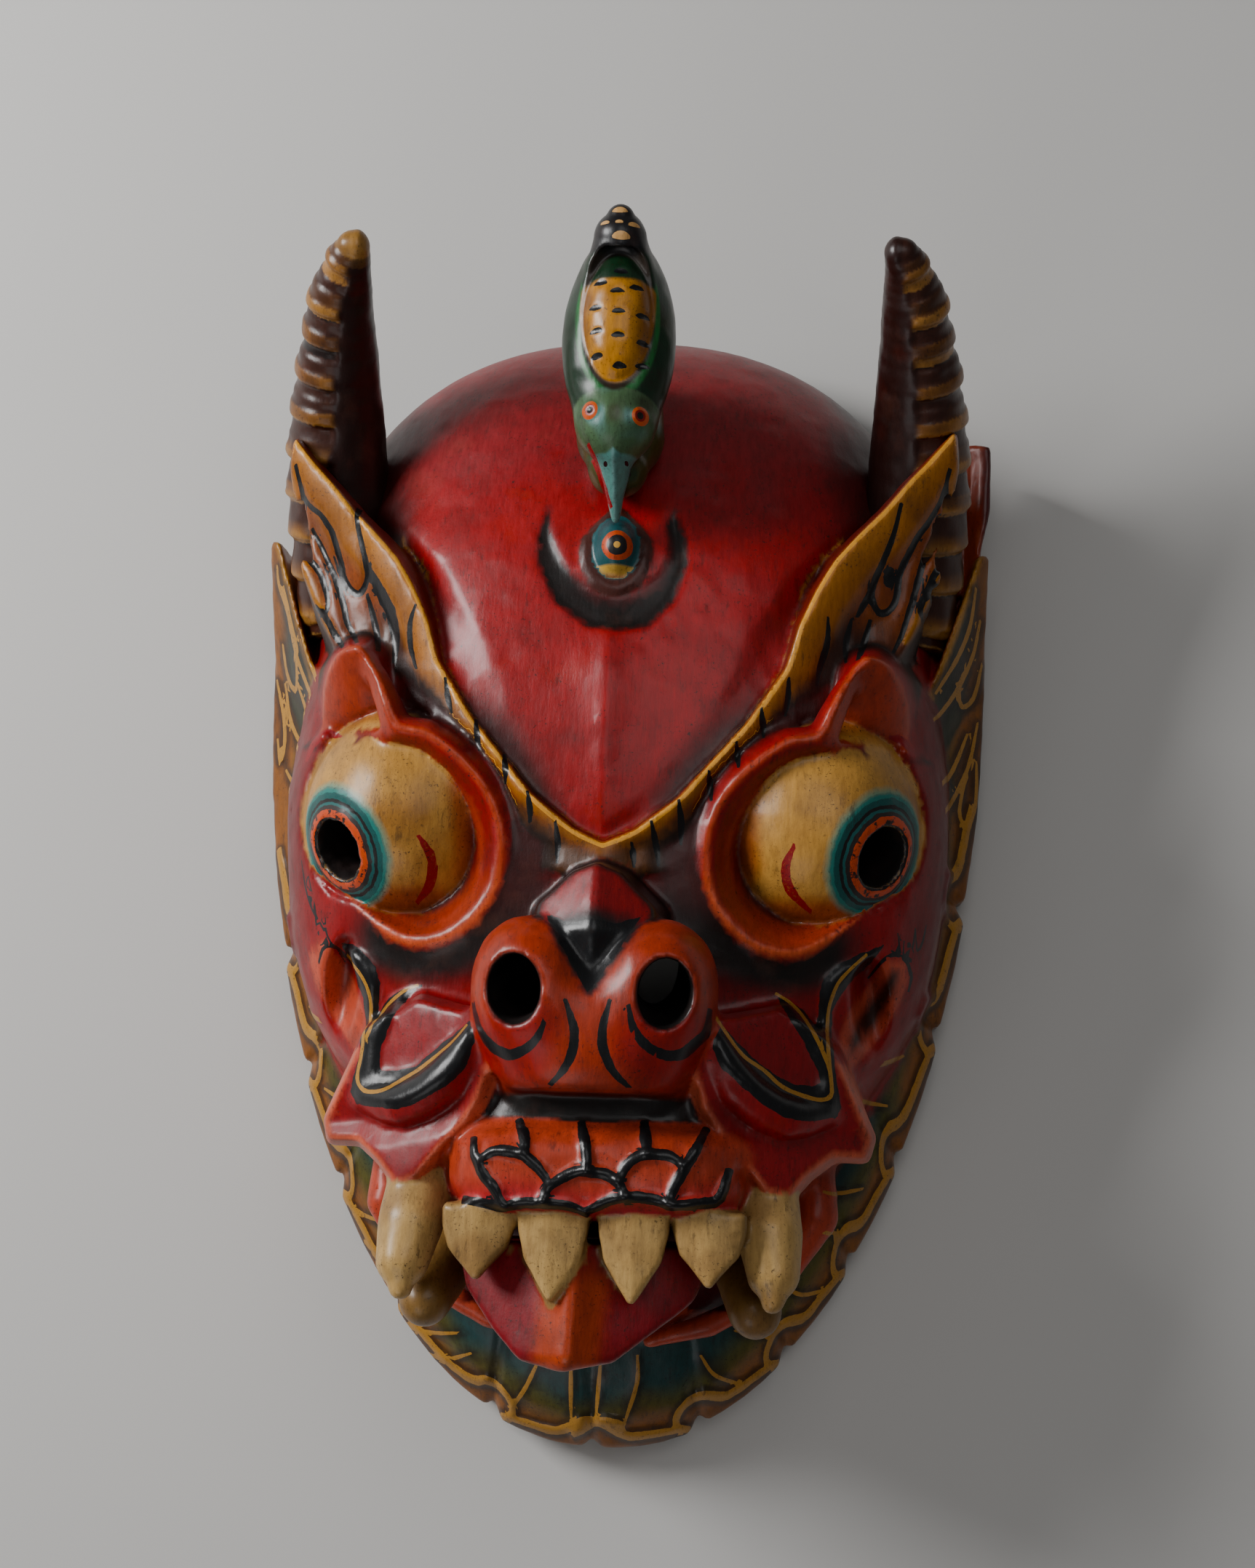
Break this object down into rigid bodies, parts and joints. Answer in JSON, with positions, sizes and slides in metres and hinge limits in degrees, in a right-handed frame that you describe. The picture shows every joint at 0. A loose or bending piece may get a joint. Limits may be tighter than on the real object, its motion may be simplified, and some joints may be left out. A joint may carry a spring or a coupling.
{
  "type": "wall mask",
  "caption": "Carved and painted wooden demon mask with horns, flame brows, bared fangs, a tongue, a bird crest and a scalloped collar; hollow behind.",
  "frame": {"origin": "middle of the mask's box, on the flat back rim that the mask lies on", "axes": "+Z out of the face, +Y from the chin to the horns, +X to the viewer's right"},
  "size_m": [0.3302, 0.521, 0.1852],
  "materials": {
    "lacquered_wood": "hand-painted red, gold, black and teal on carved wood under a satin varnish",
    "horn_stain": "dark brown stain with ochre ring edges under varnish",
    "bird_paint": "green, ochre and black paint under varnish"
  },
  "bodies": {
    "root": {"mask": "lacquered_wood", "horn_left": "horn_stain", "horn_right": "horn_stain", "bird": "bird_paint"}
  },
  "joints": []
}
